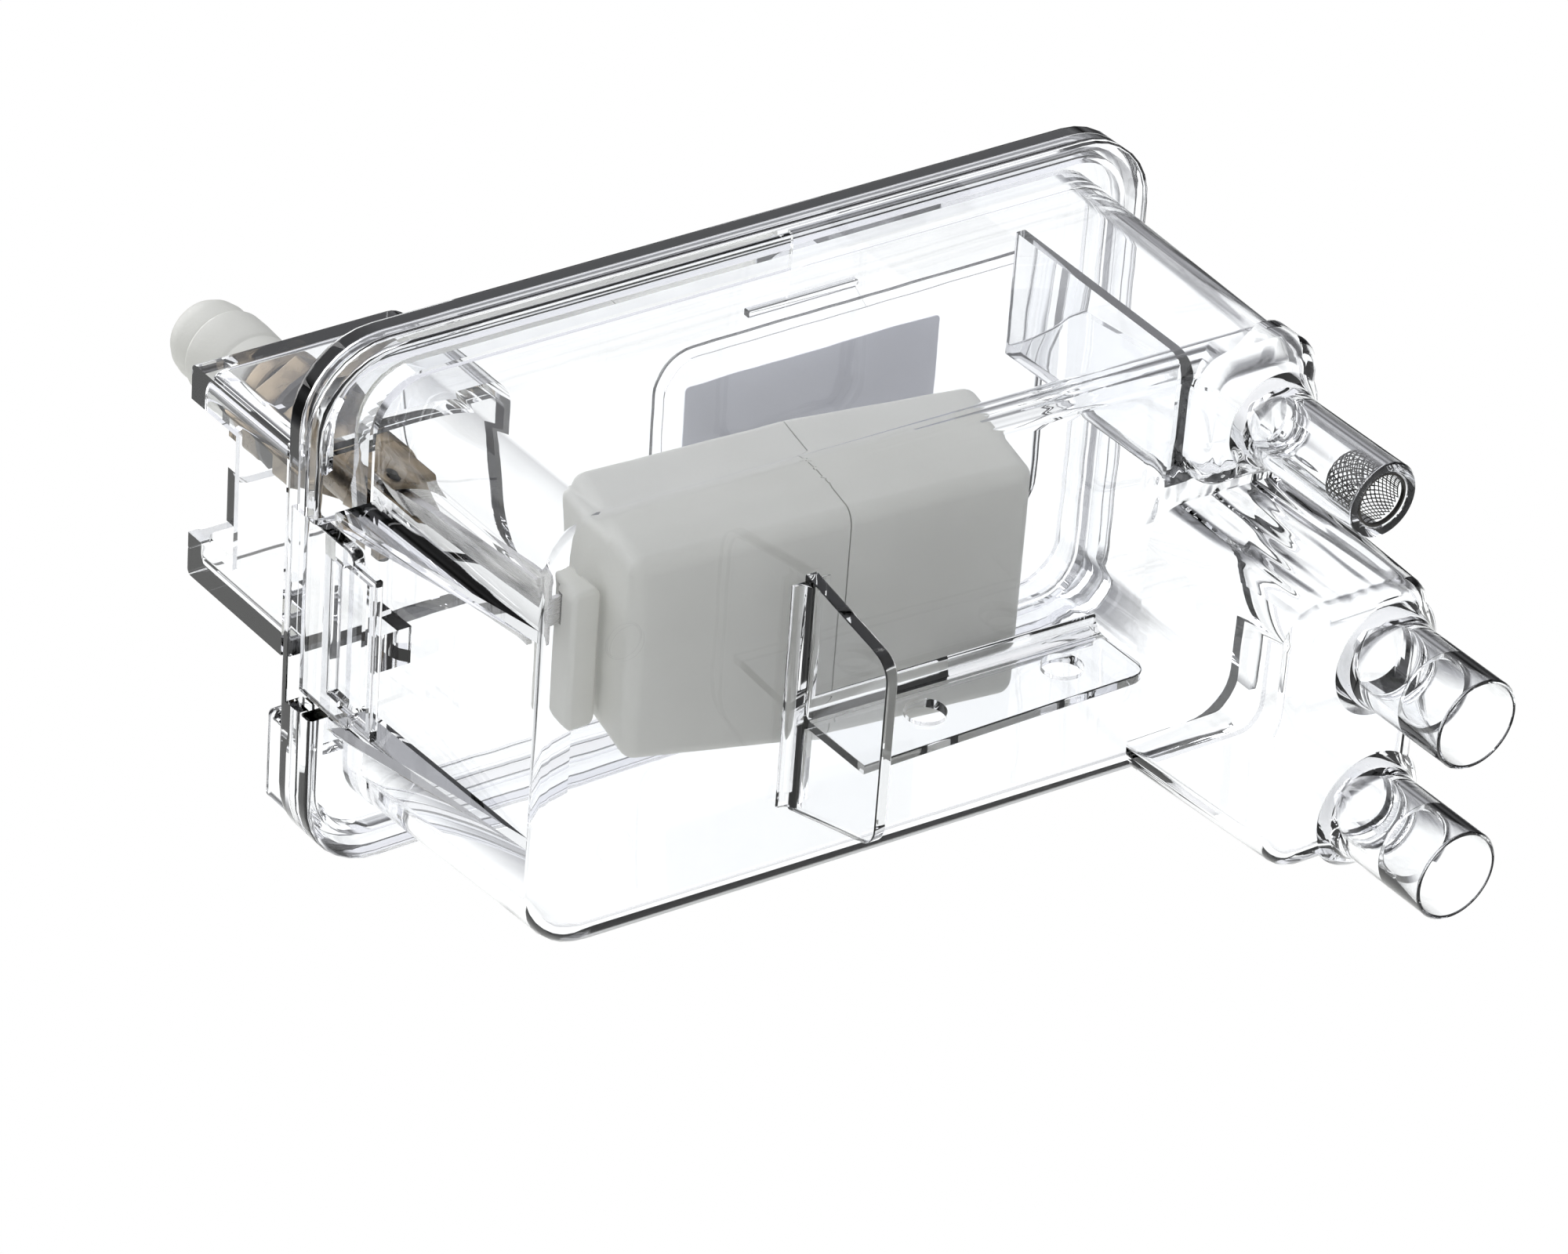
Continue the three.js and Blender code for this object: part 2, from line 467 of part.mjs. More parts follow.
add('reservoir_tub', makeTub(), clear());
add('overflow_weir', makeWeir(), clear());
add('sump_well', makeSump(), clear());
add('overflow_stub', makeStub(STUBS.overflow, CHAMBER.z0 - GAP), clear());
add('supply_stub', makeStub(STUBS.supply, SUMP.z0 - GAP), clear());
add('drain_stub', makeStub(STUBS.drain, SUMP.z0 - GAP), clear());
add('mounting_bracket', makeBracket(), clear());
add('strainer_cup', makeStrainer(), steel());
add('lid', makeLid(), clear());
add('valve_tower', makeTower(), clear());
add('lid_label', prism(roundRect(LABEL.x0, LABEL.x1, LABEL.y0, LABEL.y1, 1), LID_TOP + 1.5, LID_TOP + 1.7, 2),
  labelFilm());
add('valve_body', makeValveBody(), brass());
add('valve_washer', makeWasher(), rubber());
add('valve_lock_nut', makeLockNut(), brass());
add('inlet_collar', makeCollar(), brass());
add('inlet_screen', makeScreen(), steel());
add('inlet_cap', makeCap(), capPlastic());
add('valve_seat', makeSeat(), brass());
add('valve_plunger', makePlunger(), brass());
add('plunger_seal', makeSeal(), rubber());
add('hinge_pin', makePin(), steel());

add('lid_latch', makeLatch(), clear());
add('float_arm', makeArm(), steel());
add('float_inner_half', floatHalf(STATIONS[0], STATIONS[1], 0, GAP / 2), floatPlastic());
add('float_outer_half', floatHalf(STATIONS[1], STATIONS[2], GAP / 2, 0), floatPlastic());
add('float_clip', makeClip(), floatPlastic());

export default group;
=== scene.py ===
# %% [markdown]
# # A clear float-valve reservoir
# The object is a small moulded tank: a see-through tub with a deep sump, a lid with a tower for the valve, a satin
# float on a bent steel arm, and three hose stubs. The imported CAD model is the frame. Curved mouldings are made again
# here with fine round edges, because clear plastic shows every facet, and the plain metal pieces are kept.

# %% Load the frame
import math

import bmesh
import bpy
from mathutils import Matrix, Vector


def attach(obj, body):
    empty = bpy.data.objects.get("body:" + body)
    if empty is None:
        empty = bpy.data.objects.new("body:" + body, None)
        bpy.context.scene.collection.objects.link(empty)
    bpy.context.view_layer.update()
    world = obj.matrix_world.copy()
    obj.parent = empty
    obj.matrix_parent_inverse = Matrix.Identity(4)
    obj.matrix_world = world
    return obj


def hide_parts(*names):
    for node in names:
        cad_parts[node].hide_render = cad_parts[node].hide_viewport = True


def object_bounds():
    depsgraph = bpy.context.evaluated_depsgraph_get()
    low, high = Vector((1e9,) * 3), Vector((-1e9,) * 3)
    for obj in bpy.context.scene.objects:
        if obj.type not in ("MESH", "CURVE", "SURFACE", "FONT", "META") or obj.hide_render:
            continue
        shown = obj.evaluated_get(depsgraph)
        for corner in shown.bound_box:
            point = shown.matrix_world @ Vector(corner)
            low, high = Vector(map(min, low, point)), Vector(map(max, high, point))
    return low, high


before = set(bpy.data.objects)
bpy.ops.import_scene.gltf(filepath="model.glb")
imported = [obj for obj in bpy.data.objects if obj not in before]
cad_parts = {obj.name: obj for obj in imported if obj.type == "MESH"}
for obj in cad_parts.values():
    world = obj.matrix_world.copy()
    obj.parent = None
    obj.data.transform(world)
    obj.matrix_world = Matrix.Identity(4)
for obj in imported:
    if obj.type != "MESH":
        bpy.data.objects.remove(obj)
CAD_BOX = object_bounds()
MM = 0.001
print("frame pieces:", len(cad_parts))

# %% [markdown]
# ## Finishes
# Clear polycarbonate is a glass shader with the index of polycarbonate. Real mouldings are never quite flat: a slow
# ripple in the surface bends what is seen through it, and fine handling marks dull it a little. Both come from noise
# in object space, so they stay on the piece when it moves.

# %% Helpers for node materials
def new_material(name):
    mat = bpy.data.materials.new(name)
    mat.use_nodes = True
    tree = mat.node_tree
    shader = tree.nodes["Principled BSDF"]
    coords = tree.nodes.new("ShaderNodeTexCoord")
    return mat, tree, shader, coords


def noise(tree, coords, scale, detail=3.0, stretch=(1, 1, 1)):
    mapping = tree.nodes.new("ShaderNodeMapping")
    mapping.inputs["Scale"].default_value = stretch
    tree.links.new(coords.outputs["Object"], mapping.inputs["Vector"])
    node = tree.nodes.new("ShaderNodeTexNoise")
    node.inputs["Scale"].default_value = scale
    node.inputs["Detail"].default_value = detail
    tree.links.new(mapping.outputs["Vector"], node.inputs["Vector"])
    return node.outputs["Fac"]


def ramp(tree, fac, low, high, start=0.35, end=0.65):
    node = tree.nodes.new("ShaderNodeMapRange")
    node.inputs["From Min"].default_value = start
    node.inputs["From Max"].default_value = end
    node.inputs["To Min"].default_value = low
    node.inputs["To Max"].default_value = high
    tree.links.new(fac, node.inputs["Value"])
    return node.outputs["Result"]


def tint(tree, fac, dark, light, start=0.3, end=0.7):
    node = tree.nodes.new("ShaderNodeValToRGB")
    node.color_ramp.elements[0].position = start
    node.color_ramp.elements[1].position = end
    node.color_ramp.elements[0].color = (*dark, 1)
    node.color_ramp.elements[1].color = (*light, 1)
    tree.links.new(fac, node.inputs["Fac"])
    return node.outputs["Color"]


def bump(tree, shader, *layers):
    """Stacks (height, distance in metres, strength) layers into the shader's normal."""
    last = None
    for height, distance, strength in layers:
        node = tree.nodes.new("ShaderNodeBump")
        node.inputs["Distance"].default_value = distance
        node.inputs["Strength"].default_value = strength
        tree.links.new(height, node.inputs["Height"])
        if last is not None:
            tree.links.new(last, node.inputs["Normal"])
        last = node.outputs["Normal"]
    tree.links.new(last, shader.inputs["Normal"])


# %% Where the melt was slow to fill, the wall is wavy
def corner_mask(tree, coords, limits):
    """1 inside a box in space, fading to 0. Each limit is (axis, 0 at, 1 at), in metres."""
    axes = tree.nodes.new("ShaderNodeSeparateXYZ")
    tree.links.new(coords.outputs["Object"], axes.inputs["Vector"])
    product = None
    for axis, none, full in limits:
        step = ramp(tree, axes.outputs[axis], 0.0, 1.0, none, full)
        if product is not None:
            times = tree.nodes.new("ShaderNodeMath")
            times.operation = "MULTIPLY"
            tree.links.new(product, times.inputs[0])
            tree.links.new(step, times.inputs[1])
            step = times.outputs["Value"]
        product = step
    return product


# %% Rings left in the floor by the pins that push the moulding out
PIN_MARKS = ((-0.0765, -0.0266, 0.0037), (-0.0760, 0.0183, 0.0035), (0.0382, 0.0177, 0.0027))


def pin_ring(tree, coords, x, y, radius):
    """1 on a thin upright ring about (x, y), else 0, in metres."""
    flat = tree.nodes.new("ShaderNodeVectorMath")
    flat.operation = "MULTIPLY"
    flat.inputs[1].default_value = (1, 1, 0)
    tree.links.new(coords.outputs["Object"], flat.inputs[0])
    away = tree.nodes.new("ShaderNodeVectorMath")
    away.operation = "DISTANCE"
    away.inputs[1].default_value = (x, y, 0)
    tree.links.new(flat.outputs["Vector"], away.inputs[0])
    line = tree.nodes.new("ShaderNodeMath")
    line.operation = "COMPARE"
    line.inputs[1].default_value, line.inputs[2].default_value = radius, 0.00015
    tree.links.new(away.outputs["Value"], line.inputs[0])
    return line.outputs["Value"]


# %% Clear polycarbonate
def clear_plastic(name, ripple=1.0, color=(0.985, 0.99, 1.0), wavy=None):
    mat, tree, shader, coords = new_material(name)
    shader.inputs["Base Color"].default_value = (*color, 1)
    shader.inputs["Transmission Weight"].default_value = 1.0
    shader.inputs["IOR"].default_value = 1.5
    slow = noise(tree, coords, 28, 2)
    marks = noise(tree, coords, 420, 4, (1, 1, 0.3))
    tree.links.new(ramp(tree, marks, 0.0, 0.045, 0.55, 0.8), shader.inputs["Roughness"])
    layers = [(slow, 0.0005 * ripple, 0.35)]
    if wavy:
        waves = ramp(tree, noise(tree, coords, 75, 1, (2.4, 1, 0.35)), -0.5, 0.5, 0.0, 1.0)
        shaped = tree.nodes.new("ShaderNodeMath")
        shaped.operation = "MULTIPLY"
        tree.links.new(waves, shaped.inputs[0])
        tree.links.new(corner_mask(tree, coords, wavy), shaped.inputs[1])
        layers.append((shaped.outputs["Value"], 0.005, 0.6))
        layers += [(pin_ring(tree, coords, *mark), 0.0015, 1.0) for mark in PIN_MARKS]
    bump(tree, shader, *layers)
    pass_light = tree.nodes.new("ShaderNodeBsdfTransparent")
    pass_light.inputs["Color"].default_value = (0.93, 0.94, 0.95, 1)
    path = tree.nodes.new("ShaderNodeLightPath")
    pick = tree.nodes.new("ShaderNodeMixShader")
    tree.links.new(path.outputs["Is Shadow Ray"], pick.inputs["Fac"])
    tree.links.new(shader.outputs["BSDF"], pick.inputs[1])
    tree.links.new(pass_light.outputs["BSDF"], pick.inputs[2])
    tree.links.new(pick.outputs["Shader"], tree.nodes["Material Output"].inputs["Surface"])
    return mat


CLEAR = clear_plastic("clear_polycarbonate")
TUB_CLEAR = clear_plastic("clear_polycarbonate_tub", wavy=(
    ("X", 0.039, 0.044), ("Y", -0.0185, -0.0215), ("Y", -0.036, -0.028), ("Z", 0.034, 0.014), ("Z", -0.036, -0.028)))
print("clear plastic ready")

# %% [markdown]
# ## Metals
# The valve is brass that has been turned and has dulled to a warm grey, so its colour drifts between gold and grey and
# fine rings run round it. The arm is rolled stainless strip: bright, with lines along the rolling direction.

# %% Brass and stainless
def brass_finish():
    mat, tree, shader, coords = new_material("turned_brass")
    shader.inputs["Metallic"].default_value = 1.0
    tarnish = noise(tree, coords, 160, 5)
    tree.links.new(tint(tree, tarnish, (0.08, 0.065, 0.05), (0.33, 0.265, 0.18)), shader.inputs["Base Color"])
    tree.links.new(ramp(tree, tarnish, 0.22, 0.42), shader.inputs["Roughness"])
    rings = noise(tree, coords, 900, 2, (0.1, 0.1, 4))
    bump(tree, shader, (rings, 0.00005, 0.5))
    return mat


def steel_finish(name, stretch, rough=(0.16, 0.34), color=((0.42, 0.41, 0.4), (0.66, 0.65, 0.64))):
    mat, tree, shader, coords = new_material(name)
    shader.inputs["Metallic"].default_value = 1.0
    lines = noise(tree, coords, 700, 3, stretch)
    cloud = noise(tree, coords, 60, 2)
    tree.links.new(tint(tree, cloud, *color), shader.inputs["Base Color"])
    tree.links.new(ramp(tree, lines, *rough), shader.inputs["Roughness"])
    bump(tree, shader, (lines, 0.00003, 0.4))
    return mat


BRASS = brass_finish()
STRIP = steel_finish("rolled_stainless", (0.15, 3, 0.15))
WIRE = steel_finish("stainless_wire", (1, 1, 1), (0.3, 0.5), ((0.025, 0.024, 0.021), (0.07, 0.066, 0.06)))

# %% [markdown]
# ## Plastics and rubber
# The float is moulded in grey polypropylene with a fine satin texture, and the cap in the same family, a little warmer.
# A very fine bump breaks the highlight, and a slow mottling keeps the grey from looking painted.

# %% Satin plastics, rubber and label film
def satin_plastic(name, dark, light, grain=1400, rough=(0.42, 0.58), depth=0.00006):
    mat, tree, shader, coords = new_material(name)
    cloud = noise(tree, coords, 35, 3)
    fine = noise(tree, coords, grain, 2)
    tree.links.new(tint(tree, cloud, dark, light), shader.inputs["Base Color"])
    tree.links.new(ramp(tree, fine, *rough), shader.inputs["Roughness"])
    bump(tree, shader, (cloud, 0.0006, 0.15), (fine, depth, 0.5))
    return mat


FLOAT = satin_plastic("float_polypropylene", (0.68, 0.675, 0.62), (0.74, 0.735, 0.68))
CAP = satin_plastic("cap_polyethylene", (0.60, 0.60, 0.56), (0.66, 0.66, 0.62))
RUBBER = satin_plastic("black_rubber", (0.018, 0.018, 0.02), (0.03, 0.03, 0.032), 900, (0.6, 0.8))
LABEL = satin_plastic("blank_label_film", (0.78, 0.79, 0.87), (0.84, 0.85, 0.93), 2200, (0.35, 0.5), 0.00002)

# %% Dress the frame's pieces
DRESS = {
    "reservoir_tub": CLEAR, "overflow_weir": CLEAR, "sump_well": CLEAR, "overflow_stub": CLEAR, "supply_stub": CLEAR, "drain_stub": CLEAR,
    "mounting_bracket": CLEAR, "lid": CLEAR,
    "lid_latch": CLEAR, "valve_tower": CLEAR, "lid_label": LABEL,
    "strainer_cup": WIRE, "inlet_screen": WIRE, "hinge_pin": WIRE, "float_arm": STRIP,
    "valve_body": BRASS, "valve_lock_nut": BRASS, "inlet_collar": BRASS, "valve_seat": BRASS,
    "valve_plunger": BRASS, "valve_washer": RUBBER, "plunger_seal": RUBBER, "inlet_cap": CAP,
    "float_inner_half": FLOAT, "float_outer_half": FLOAT, "float_clip": FLOAT,
}
for name, finish in DRESS.items():
    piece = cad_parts[name]
    piece.data.materials.clear()
    piece.data.materials.append(finish)
print("dressed", len(DRESS), "pieces")

# %% [markdown]
# ## Helpers for moulded pieces
# A moulding is a box with a draft, round corners and a hollow. Each starts as one cube: its upright edges are bevelled
# first, then the lower rim, and a linear taper gives the draft. Pieces are then joined and hollowed with exact
# booleans, which keep the wall closed so that the glass has a true inside and outside.

# %% Solids that are joined and cut
def solid_from(build):
    bm = bmesh.new()
    build(bm)
    bmesh.ops.remove_doubles(bm, verts=bm.verts, dist=1e-6)
    bmesh.ops.recalc_face_normals(bm, faces=bm.faces)
    mesh = bpy.data.meshes.new("solid")
    bm.to_mesh(mesh)
    bm.free()
    return mesh


def upright_edges(bm):
    return [e for e in bm.edges if abs((e.verts[0].co - e.verts[1].co).normalized().z) > 0.9]


def rim_edges(bm, z, tol=1e-5):
    return [e for e in bm.edges if all(abs(v.co.z - z) < tol for v in e.verts) and len(e.link_faces) == 2
            and abs(e.link_faces[0].normal.dot(e.link_faces[1].normal)) < 0.5]


def rounded_box(x, y, z, corner=0.0, low_edge=0.0, top_edge=0.0, draft=0.0, floor_rise=0.0, fine=8):
    """Box in millimetres: x, y and z are (low, high). The draft pulls the walls in at the bottom."""
    def build(bm):
        bmesh.ops.create_cube(bm, size=1)
        size = Vector((x[1] - x[0], y[1] - y[0], z[1] - z[0])) * MM
        middle = Vector((x[0] + x[1], y[0] + y[1], z[0] + z[1])) * MM / 2
        bmesh.ops.scale(bm, verts=bm.verts, vec=size)
        bmesh.ops.translate(bm, verts=bm.verts, vec=middle)
        if corner:
            bmesh.ops.bevel(bm, geom=upright_edges(bm), offset=corner * MM, offset_type="OFFSET", segments=fine,
                            profile=0.5, affect="EDGES", material=-1)
        bm.normal_update()
        for level, radius in ((z[0], low_edge), (z[1], top_edge)):
            if radius:
                bmesh.ops.bevel(bm, geom=rim_edges(bm, level * MM), offset=radius * MM, offset_type="OFFSET",
                                segments=max(3, fine // 2), profile=0.5, affect="EDGES", material=-1)
                bm.normal_update()
        if draft or floor_rise:
            for v in bm.verts:
                down = (z[1] * MM - v.co.z) / size.z
                v.co.x -= math.copysign(draft * MM * down, v.co.x - middle.x)
                v.co.y -= math.copysign(draft * MM * down, v.co.y - middle.y)
                v.co.z += floor_rise * MM * down * min(1, max(0, (x[1] * MM - v.co.x) / size.x))
    return solid_from(build)


def turned(profile, x, y, sides=64):
    """Upright turned solid from (radius, z) pairs in millimetres. A profile off the axis closes on itself."""
    def build(bm):
        verts = [bm.verts.new((r * MM, 0, z * MM)) for r, z in profile]
        edges = [bm.edges.new(pair) for pair in zip(verts, verts[1:])]
        if profile[0][0] > 0:
            edges.append(bm.edges.new((verts[-1], verts[0])))
        bmesh.ops.spin(bm, geom=verts + edges, cent=(0, 0, 0), axis=(0, 0, 1), angle=2 * math.pi, steps=sides,
                       use_merge=True, use_normal_flip=False, use_duplicate=False)
        bmesh.ops.remove_doubles(bm, verts=bm.verts, dist=1e-6)
        bmesh.ops.translate(bm, verts=bm.verts, vec=(x * MM, y * MM, 0))
    return solid_from(build)


def plate(points, thick, across, soften=0.0):
    """Flat plate: points are corners in millimetres in the plane square to the axis across, thick is (low, high)."""
    def build(bm):
        place = {"X": lambda a, b: (thick[0], a, b), "Y": lambda a, b: (a, thick[0], b),
                 "Z": lambda a, b: (a, b, thick[0])}[across]
        step = {"X": (1, 0, 0), "Y": (0, 1, 0), "Z": (0, 0, 1)}[across]
        face = bm.faces.new([bm.verts.new(Vector(place(a, b)) * MM) for a, b in points])
        grown = bmesh.ops.extrude_face_region(bm, geom=[face])
        moved = [v for v in grown["geom"] if isinstance(v, bmesh.types.BMVert)]
        bmesh.ops.translate(bm, verts=moved, vec=Vector(step) * (thick[1] - thick[0]) * MM)
        if soften:
            bmesh.ops.recalc_face_normals(bm, faces=bm.faces)
            bmesh.ops.bevel(bm, geom=bm.edges[:], offset=soften * MM, offset_type="OFFSET", segments=3,
                            profile=0.5, affect="EDGES", material=-1)
    return solid_from(build)


def combine(name, base, add=(), cut=(), finish=None, smooth=32):
    """Joins and cuts solids with exact booleans and returns one finished object at the origin."""
    scene = bpy.context.scene.collection
    body = bpy.data.objects.new(name, base)
    scene.objects.link(body)
    tools = []
    for operation, meshes in (("UNION", add), ("DIFFERENCE", cut)):
        for mesh in meshes:
            tool = bpy.data.objects.new(name + "_tool", mesh)
            scene.objects.link(tool)
            tools.append(tool)
            step = body.modifiers.new(operation.lower(), "BOOLEAN")
            step.operation, step.object, step.solver = operation, tool, "EXACT"
    graph = bpy.context.evaluated_depsgraph_get()
    made = bpy.data.meshes.new_from_object(body.evaluated_get(graph))
    body.modifiers.clear()
    body.data = made
    for tool in tools:
        bpy.data.objects.remove(tool)
    made.materials.clear()
    made.materials.append(finish or CLEAR)
    made.polygons.foreach_set("use_smooth", [True] * len(made.polygons))
    made.set_sharp_from_angle(angle=math.radians(smooth))
    even = body.modifiers.new("flat_faces_stay_flat", "WEIGHTED_NORMAL")
    even.keep_sharp, even.weight = True, 60
    graph = bpy.context.evaluated_depsgraph_get()
    body.data = bpy.data.meshes.new_from_object(body.evaluated_get(graph))
    body.modifiers.clear()
    print(name, len(made.polygons), "faces")
    return body


# %% [markdown]
# ## The tub
# The tub, its sump, its hose stubs and its bracket leave the mould as one piece with 2.5 mm walls. The floor slopes to
# the sump, one corner drops into the overflow chamber, and a flange runs round the mouth. Here every outside is joined
# first and every hollow is cut last, so that the walls meet without a seam inside the glass.

# %% Sizes shared by the mouldings, in millimetres
WALL = 2.5
TUB_X, TUB_Y = (-95, 78), (-56, 41)
RIM_X, RIM_Y = (-107, 86), (-63.6, 48.8)
FLANGE = (69.5, 73.0)
WALL_TOP = 77.6
FLOOR_LOW, FLOOR_RISE = 7.0, 5.6
CHAMBER_X, CHAMBER_Y = (47, 75.8), (-53.8, -25.5)
SUMP_X, SUMP_Y, SUMP_Z = (41, 78), (-22, 39), (-35.4, 8.4)
STUB_X = 65


def bare(obj):
    """Takes the mesh of a helper object and removes the object."""
    mesh = obj.data
    bpy.data.objects.remove(obj)
    return mesh


# %% Tub, flange and overflow chamber
tub_outside = rounded_box(TUB_X, TUB_Y, (FLOOR_LOW, WALL_TOP), 12, 5, 0, 2.2, FLOOR_RISE)
tub_room = rounded_box((TUB_X[0] + WALL, TUB_X[1] - WALL), (TUB_Y[0] + WALL, TUB_Y[1] - WALL),
                       (FLOOR_LOW + WALL, WALL_TOP + 3), 9.5, 3.5, 0, 2.3, FLOOR_RISE)
inside_flange = rounded_box((-10, TUB_X[1] - 0.05), (TUB_Y[0] + 0.05, TUB_Y[1] - 0.05), (55, 80), 12)
thin_ring = bare(combine("thin_ring", rounded_box((-2, 90), (-70, 55), (60, 71.4)), cut=[inside_flange]))
notch = rounded_box((-110, -100.9), (-30, 13), (60, 75))
flange = bare(combine("flange", rounded_box(RIM_X, RIM_Y, FLANGE, 17, 1.1, 0.7), cut=[thin_ring, notch]))
chamber = rounded_box(CHAMBER_X, CHAMBER_Y, (3.6, 13), 8, 3)
chamber_room = rounded_box((49.2, 73.3), (-51.3, -27.7), (6.1, 60), 6, 2.5)
ribs = [plate([(-94, 70.5), (-103, 70.5), (-103, 66.5), (-93, 17), (-91, 17)], (y - 1.3, y + 1.3), "Y")
        for y in (-30.4, 14.4)]
wedge = plate([(-93, 55.6), (-93, 66.6), (-95.5, 66.6), (-101.5, 57.6), (-101.5, 55.6)], (-12, -4), "Y")

# %% [markdown]
# ## The sump and the hose stubs
# The sump is a deep box below the floor, flush with two of the tub's walls. Each stub is a turned tube with a small
# fillet at its root. The two large stubs open out near the mouth, so the wall is thin there.

# %% Sump
sump_outside = rounded_box(SUMP_X, SUMP_Y, SUMP_Z, 8, 4, 0, 1.5)
sump_room = rounded_box((SUMP_X[0] + WALL, SUMP_X[1] - WALL), (SUMP_Y[0] + WALL, SUMP_Y[1] - WALL),
                        (SUMP_Z[0] + WALL, 16), 5.5, 2.5, 0, 1.5)


# %% Hose stubs
def stub_outside(y, mouth, radius, root):
    """root is the level of the wall that the stub grows from."""
    return turned([(0, mouth), (radius - 0.35, mouth), (radius, mouth + 0.4), (radius, root - 4.5),
                   (radius + 0.4, root - 2.8), (radius + 1.2, root - 1.3), (radius + 2.6, root - 0.2),
                   (radius + 3.4, root + 0.6), (0, root + 0.6)], STUB_X, y, 96)


def stub_bore(y, mouth, bore, top, lip=0, lip_bore=0):
    """A lip is a length at the mouth with a wider bore."""
    wide = lip_bore or bore
    return turned([(0, mouth - 1), (wide + 0.25, mouth - 1), (wide + 0.25, mouth), (wide, mouth + 0.3),
                   (wide, mouth + lip), (bore, mouth + lip + 0.8), (bore, top), (0, top)], STUB_X, y, 96)


LARGE_MOUTH, SMALL_MOUTH = -62.4, -29.5
stubs = [stub_outside(-6, LARGE_MOUTH, 9.5, SUMP_Z[0]), stub_outside(27.8, LARGE_MOUTH, 9.5, SUMP_Z[0]),
         stub_outside(-37.3, SMALL_MOUTH, 7.95, 3.6)]
bores = [stub_bore(-6, LARGE_MOUTH, 7.3, -29, 12, 8.6), stub_bore(27.8, LARGE_MOUTH, 7.3, -29, 12, 8.6),
         stub_bore(-37.3, SMALL_MOUTH, 5.95, 13)]

# %% [markdown]
# ## Bracket
# The bracket is a thin plate with two holes and a cross web, each with a hollow fillet where it grows from the floor.

# %% Outline helpers
def arc(cx, cy, r, start, end, steps=8):
    turn = [math.radians(start + (end - start) * i / steps) for i in range(steps + 1)]
    return [(cx + r * math.cos(t), cy + r * math.sin(t)) for t in turn]


def floor_under(x):
    """Height of the tub's underside at x, in millimetres."""
    return FLOOR_LOW + FLOOR_RISE * min(1, max(0, (41 - x) / 136))


def round_bar(x, z, r, y, sides=48):
    """Round solid along Y, in millimetres."""
    def build(bm):
        bmesh.ops.create_cone(bm, cap_ends=True, segments=sides, radius1=r * MM, radius2=r * MM,
                              depth=(y[1] - y[0]) * MM)
        bmesh.ops.rotate(bm, verts=bm.verts, cent=(0, 0, 0), matrix=Matrix.Rotation(math.radians(90), 3, "X"))
        bmesh.ops.translate(bm, verts=bm.verts, vec=Vector((x, (y[0] + y[1]) / 2, z)) * MM)
    return solid_from(build)


# %% Bracket
FACE_T, HOLE_R, PITCH = 2.0, 4.15, 32
ROOT = 0.8


def root_fillet(x, z_top, r, width, across):
    """Hollow fillet of radius r on both sides of a plate that is width thick."""
    hollow = [(side * (width / 2 + r) - side * r * math.cos(math.radians(t)), z_top - r + r * math.sin(math.radians(t)))
              for side, turn in ((-1, range(90, -1, -15)), (1, range(0, 91, 15))) for t in turn]
    return plate([(x + a, b) for a, b in [(hollow[0][0], z_top + ROOT), *hollow, (hollow[-1][0], z_top + ROOT)]], *across)


bracket_face = plate([(-35.7, -9.9), *arc(29.4 - 4, -9.9 + 4, 4, -90, 0), (29.4, floor_under(29.4) + ROOT),
                      (-35.7, floor_under(-35.7) + ROOT)], (0, FACE_T), "Y", 0.3)
web_top = floor_under(-36.9)
bracket_web = plate([(-30.5, web_top + ROOT), (-30.5, web_top), (-26, -10.8), *arc(-21, -10.8, 5, 180, 270),
                     *arc(10.5, -10.8, 5, -90, 0), (15.5, -10.8), (21, web_top), (21, web_top + ROOT)],
                    (-38.2, -35.6), "X", 0.3)
slope = Matrix.Identity(4)
slope[2][0] = -FLOOR_RISE / 136
face_fillet = root_fillet(1, floor_under(0), 3, FACE_T - 0.1, ((-35.7, 29.3), "X"))
face_fillet.transform(slope)
web_fillet = root_fillet(-36.9, web_top, 3, 2.4, ((-29, 19.5), "Y"))
screw_holes = [round_bar(side * PITCH / 2, 0, HOLE_R, (-2, 5)) for side in (-1, 1)]

# %% [markdown]
# ## Joining the moulding
# All the outsides are joined to the tub first and then every hollow is cut, in one chain of exact booleans.

# %% The finished tub
tub = combine("tub", tub_outside, [flange, chamber, *ribs, wedge, sump_outside, *stubs, bracket_face, bracket_web,
                                   face_fillet, web_fillet],
              [tub_room, chamber_room, sump_room, *bores, *screw_holes], finish=TUB_CLEAR)
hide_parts("reservoir_tub", "sump_well", "overflow_stub", "supply_stub", "drain_stub", "mounting_bracket")
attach(tub, "reservoir")

# %% [markdown]
# ## Weir
# The weir is an L of thin wall bonded into the tub: water that rises over its top edge falls into the chamber.

# %% Overflow weir
weir_room = rounded_box((-92.2, 75.2), (-53.2, 38.2), (9.8, 90), 9.2, 3.2, 0, 2.3, FLOOR_RISE)
weir = combine("weir", plate([(47, 9.8), (49.2, 9.8), (49.2, 63.5), (47, 63.5)], (-56, -25.5), "Y", 0.25),
               add=[plate([(-27.7, 9.8), (-25.5, 9.8), (-25.5, 63.5), (-27.7, 63.5)], (47.1, 78), "X", 0.25),
                    plate([(44, 9.8), (48, 9.8), (48, 13.2)], (-56, -25.6), "Y")])
trim = weir.modifiers.new("trim", "BOOLEAN")
room = bpy.data.objects.new("weir_room", weir_room)
bpy.context.scene.collection.objects.link(room)
trim.operation, trim.object, trim.solver = "INTERSECT", room, "EXACT"
trimmed = bpy.data.meshes.new_from_object(weir.evaluated_get(bpy.context.evaluated_depsgraph_get()))
weir.modifiers.clear()
weir.data = trimmed
bpy.data.objects.remove(room)
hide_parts("overflow_weir")
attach(weir, "reservoir")

